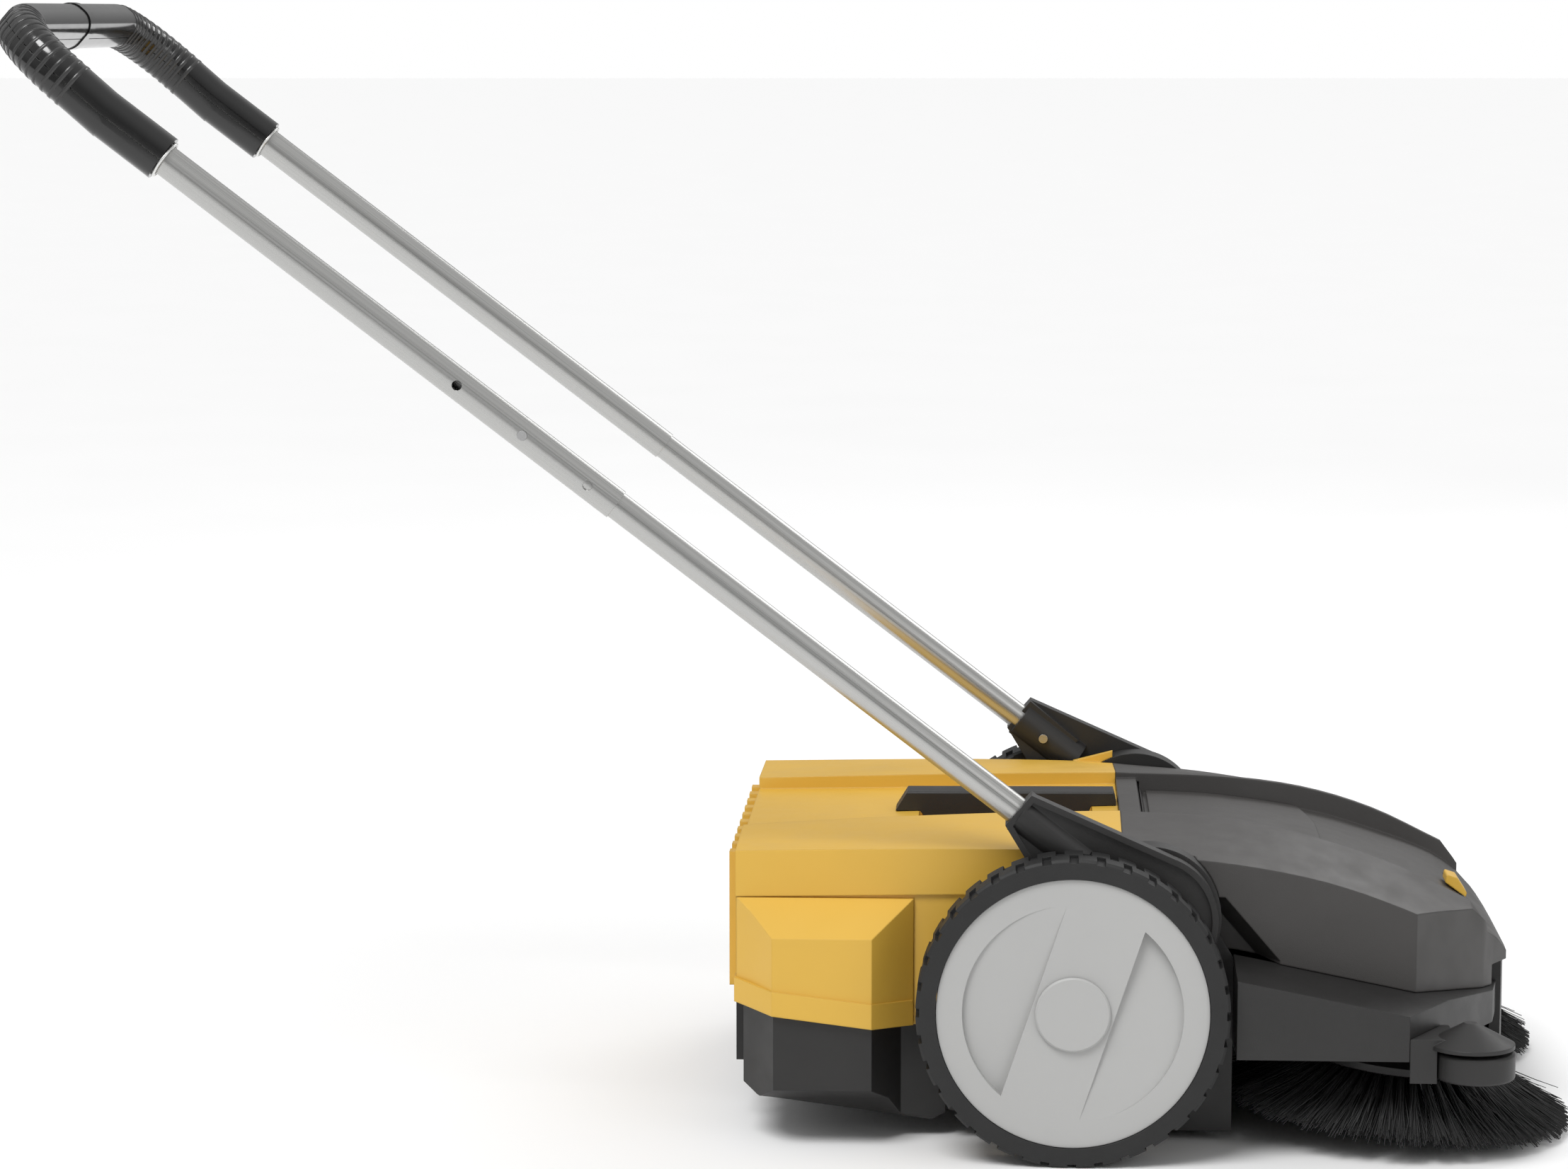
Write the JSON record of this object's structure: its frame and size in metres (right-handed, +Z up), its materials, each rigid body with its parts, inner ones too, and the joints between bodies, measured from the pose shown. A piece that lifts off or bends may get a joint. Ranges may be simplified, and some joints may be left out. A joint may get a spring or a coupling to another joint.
{
  "type": "push sweeper",
  "caption": "Manual push sweeper with a yellow hopper, spoked-look wheels, tilted disc brushes, a sweeping roller and a folding, telescopic U handle.",
  "frame": {"origin": "on the floor, at the middle of the footprint that the machine and its handle cover at rest", "axes": "+X forwards, +Y to the machine's left, +Z up"},
  "size_m": [1.254, 0.594, 0.9033],
  "materials": {
    "yellow_plastic": "fine moulded texture",
    "hood_plastic": "fine moulded texture, dark warm grey",
    "black_plastic": "fine moulded texture",
    "grip_plastic": "smooth, slightly glossy",
    "wheel_plastic": "light grey moulding",
    "gear_plastic": "natural nylon",
    "tyre_rubber": "matt black tread",
    "tube_aluminium": "brushed along the tube",
    "steel": "bright drawn steel",
    "bristle": "black nylon bristles"
  },
  "bodies": {
    "machine": {"chassis": "black_plastic", "hood": "hood_plastic", "hood_lid": "hood_plastic", "roller_cover": "black_plastic", "axle": "steel", "axle_caps": "steel", "pivot_bolts": "steel", "pivot_nuts": "steel", "right_handle_drum": "black_plastic", "left_handle_drum": "black_plastic", "right_gear_bracket": "black_plastic", "left_gear_bracket": "black_plastic", "right_roller_bracket": "black_plastic", "left_roller_bracket": "black_plastic", "guide_pins": "steel"},
    "height_slider_body": {"height_slider": "yellow_plastic"},
    "hopper": {"hopper_lid": "yellow_plastic", "hopper_tub": "black_plastic", "carry_handle": "black_plastic"},
    "roller": {"roller_core": "black_plastic", "roller_bristles": "bristle", "roller_pinion": "gear_plastic"},
    "handle": {"right_arm": "black_plastic", "left_arm": "black_plastic", "right_lower_tube": "tube_aluminium", "left_lower_tube": "tube_aluminium", "arm_buttons": "steel", "right_snap_clip": "steel", "left_snap_clip": "steel"},
    "upper_handle": {"upper_tube": "tube_aluminium", "grip_top": "grip_plastic", "grip_bottom": "grip_plastic", "grip_band": "grip_plastic"},
    "right_wheel": {"right_tyre": "tyre_rubber", "right_wheel_disc": "wheel_plastic", "right_hub_cap": "wheel_plastic", "right_ring_gear": "gear_plastic"},
    "right_cross_shaft_group": {"right_cross_shaft": "steel", "right_cross_gears": "gear_plastic"},
    "right_drive_shaft_group": {"right_drive_shaft": "steel", "right_drive_gears": "gear_plastic"},
    "right_brush": {"right_brush_plate": "black_plastic", "right_brush_bristles": "bristle", "right_brush_spindle": "steel", "right_crown_gear": "gear_plastic"},
    "right_guide_roller_body": {"right_guide_roller": "black_plastic"},
    "left_wheel": {"left_tyre": "tyre_rubber", "left_wheel_disc": "wheel_plastic", "left_hub_cap": "wheel_plastic", "left_ring_gear": "gear_plastic"},
    "left_cross_shaft_group": {"left_cross_shaft": "steel", "left_cross_gears": "gear_plastic"},
    "left_drive_shaft_group": {"left_drive_shaft": "steel", "left_drive_gears": "gear_plastic"},
    "left_brush": {"left_brush_plate": "black_plastic", "left_brush_bristles": "bristle", "left_brush_spindle": "steel", "left_crown_gear": "gear_plastic"},
    "left_guide_roller_body": {"left_guide_roller": "black_plastic"}
  },
  "joints": [
    {"name": "right_wheel_spin", "type": "hinge", "parent": "machine", "child": "right_wheel", "pos_m": [0.22655, -0.274, 0.1225], "axis": [0, 1, 0], "continuous": true},
    {"name": "right_cross_shaft_spin", "type": "hinge", "parent": "machine", "child": "right_cross_shaft_group", "pos_m": [0.29855, -0.2, 0.1225], "axis": [0, 1, 0], "continuous": true},
    {"name": "right_drive_shaft_spin", "type": "hinge", "parent": "machine", "child": "right_drive_shaft_group", "pos_m": [0.29855, -0.14, 0.1225], "axis": [0.996, 0, -0.0889], "continuous": true},
    {"name": "right_brush_spin", "type": "hinge", "parent": "machine", "child": "right_brush", "pos_m": [0.48855, -0.14, 0.01231], "axis": [0.0889, 0, 0.996], "continuous": true},
    {"name": "right_guide_roller_spin", "type": "hinge", "parent": "machine", "child": "right_guide_roller_body", "pos_m": [0.54055, -0.263, 0.08], "axis": [0, 0, 1], "continuous": true},
    {"name": "left_wheel_spin", "type": "hinge", "parent": "machine", "child": "left_wheel", "pos_m": [0.22655, 0.274, 0.1225], "axis": [0, 1, 0], "continuous": true},
    {"name": "left_cross_shaft_spin", "type": "hinge", "parent": "machine", "child": "left_cross_shaft_group", "pos_m": [0.29855, 0.2, 0.1225], "axis": [0, 1, 0], "continuous": true},
    {"name": "left_drive_shaft_spin", "type": "hinge", "parent": "machine", "child": "left_drive_shaft_group", "pos_m": [0.29855, 0.14, 0.1225], "axis": [0.996, 0, -0.0889], "continuous": true},
    {"name": "left_brush_spin", "type": "hinge", "parent": "machine", "child": "left_brush", "pos_m": [0.48855, 0.14, 0.01231], "axis": [0.0889, 0, 0.996], "continuous": true},
    {"name": "left_guide_roller_spin", "type": "hinge", "parent": "machine", "child": "left_guide_roller_body", "pos_m": [0.54055, 0.263, 0.08], "axis": [0, 0, 1], "continuous": true},
    {"name": "roller_spin", "type": "hinge", "parent": "machine", "child": "roller", "pos_m": [0.24777, 0, 0.0537], "axis": [0, 1, 0], "continuous": true},
    {"name": "handle_fold", "type": "hinge", "parent": "machine", "child": "handle", "pos_m": [0.28655, 0, 0.187], "axis": [0, 1, 0], "range_deg": [0, 78]},
    {"name": "handle_extend", "type": "slide", "parent": "handle", "child": "upper_handle", "axis": [-0.7949, 0, 0.6067], "range_m": [-0.064, 0.064], "deforming": ["right_snap_clip", "left_snap_clip"]},
    {"name": "hopper_pull", "type": "slide", "parent": "machine", "child": "hopper", "axis": [-1, 0, 0], "range_m": [0, 0.35]},
    {"name": "height_adjust", "type": "slide", "parent": "machine", "child": "height_slider_body", "axis": [0, 1, 0], "range_m": [0, 0.024]}
  ],
  "couplings": [
    {"joint": "right_cross_shaft_spin", "follows": "right_wheel_spin", "ratio": 7},
    {"joint": "right_drive_shaft_spin", "follows": "right_wheel_spin", "ratio": 7},
    {"joint": "right_brush_spin", "follows": "right_wheel_spin", "ratio": 3.5},
    {"joint": "left_cross_shaft_spin", "follows": "left_wheel_spin", "ratio": 7},
    {"joint": "left_drive_shaft_spin", "follows": "left_wheel_spin", "ratio": -7},
    {"joint": "left_brush_spin", "follows": "left_wheel_spin", "ratio": -3.5},
    {"joint": "roller_spin", "follows": "right_wheel_spin", "ratio": 7}
  ]
}
